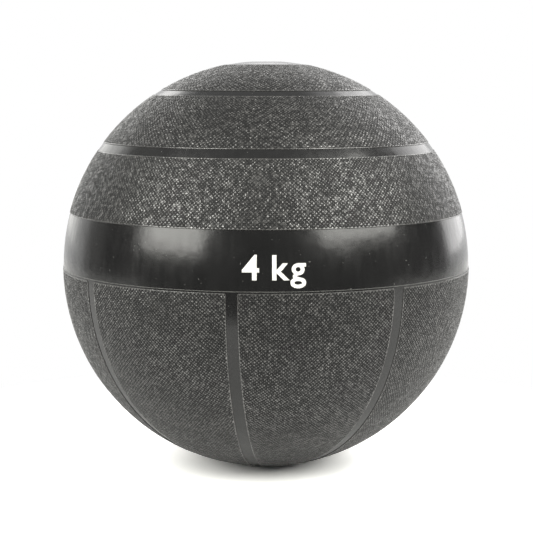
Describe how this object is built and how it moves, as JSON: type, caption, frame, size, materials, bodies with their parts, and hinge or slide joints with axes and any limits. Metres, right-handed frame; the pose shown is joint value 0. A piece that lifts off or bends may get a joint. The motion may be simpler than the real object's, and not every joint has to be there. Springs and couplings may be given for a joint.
{
  "type": "medicine ball",
  "caption": "Round weighted rubber exercise ball with grained grip panels, a plain band and rings, plain ribs below, and a needle valve at the top.",
  "frame": {"origin": "centre of the ball, on the plane where the two halves of its cover meet", "axes": "+Z through the needle valve at the crown; -Y towards the side that carries the weight mark"},
  "size_m": [0.23, 0.23, 0.2288],
  "materials": {
    "smooth_rubber": "gloss",
    "grained_rubber": "matte",
    "weight_rubber": "matte",
    "bladder_rubber": "satin",
    "valve_rubber": "satin",
    "nylon_thread": "matte"
  },
  "bodies": {
    "root": {"bladder": "bladder_rubber", "valve_seat": "valve_rubber", "valve_core": "valve_rubber", "thread_winding": "nylon_thread", "weight_layer_upper": "weight_rubber", "weight_layer_lower": "weight_rubber", "cover_upper": "smooth_rubber", "cover_lower": "smooth_rubber", "shoulder_panel": "grained_rubber", "upper_panel": "grained_rubber", "crown_panel": "grained_rubber", "lower_gore_1": "grained_rubber", "lower_gore_2": "grained_rubber", "lower_gore_3": "grained_rubber", "lower_gore_4": "grained_rubber", "lower_gore_5": "grained_rubber", "lower_gore_6": "grained_rubber", "lower_gore_7": "grained_rubber", "lower_gore_8": "grained_rubber"}
  },
  "joints": []
}
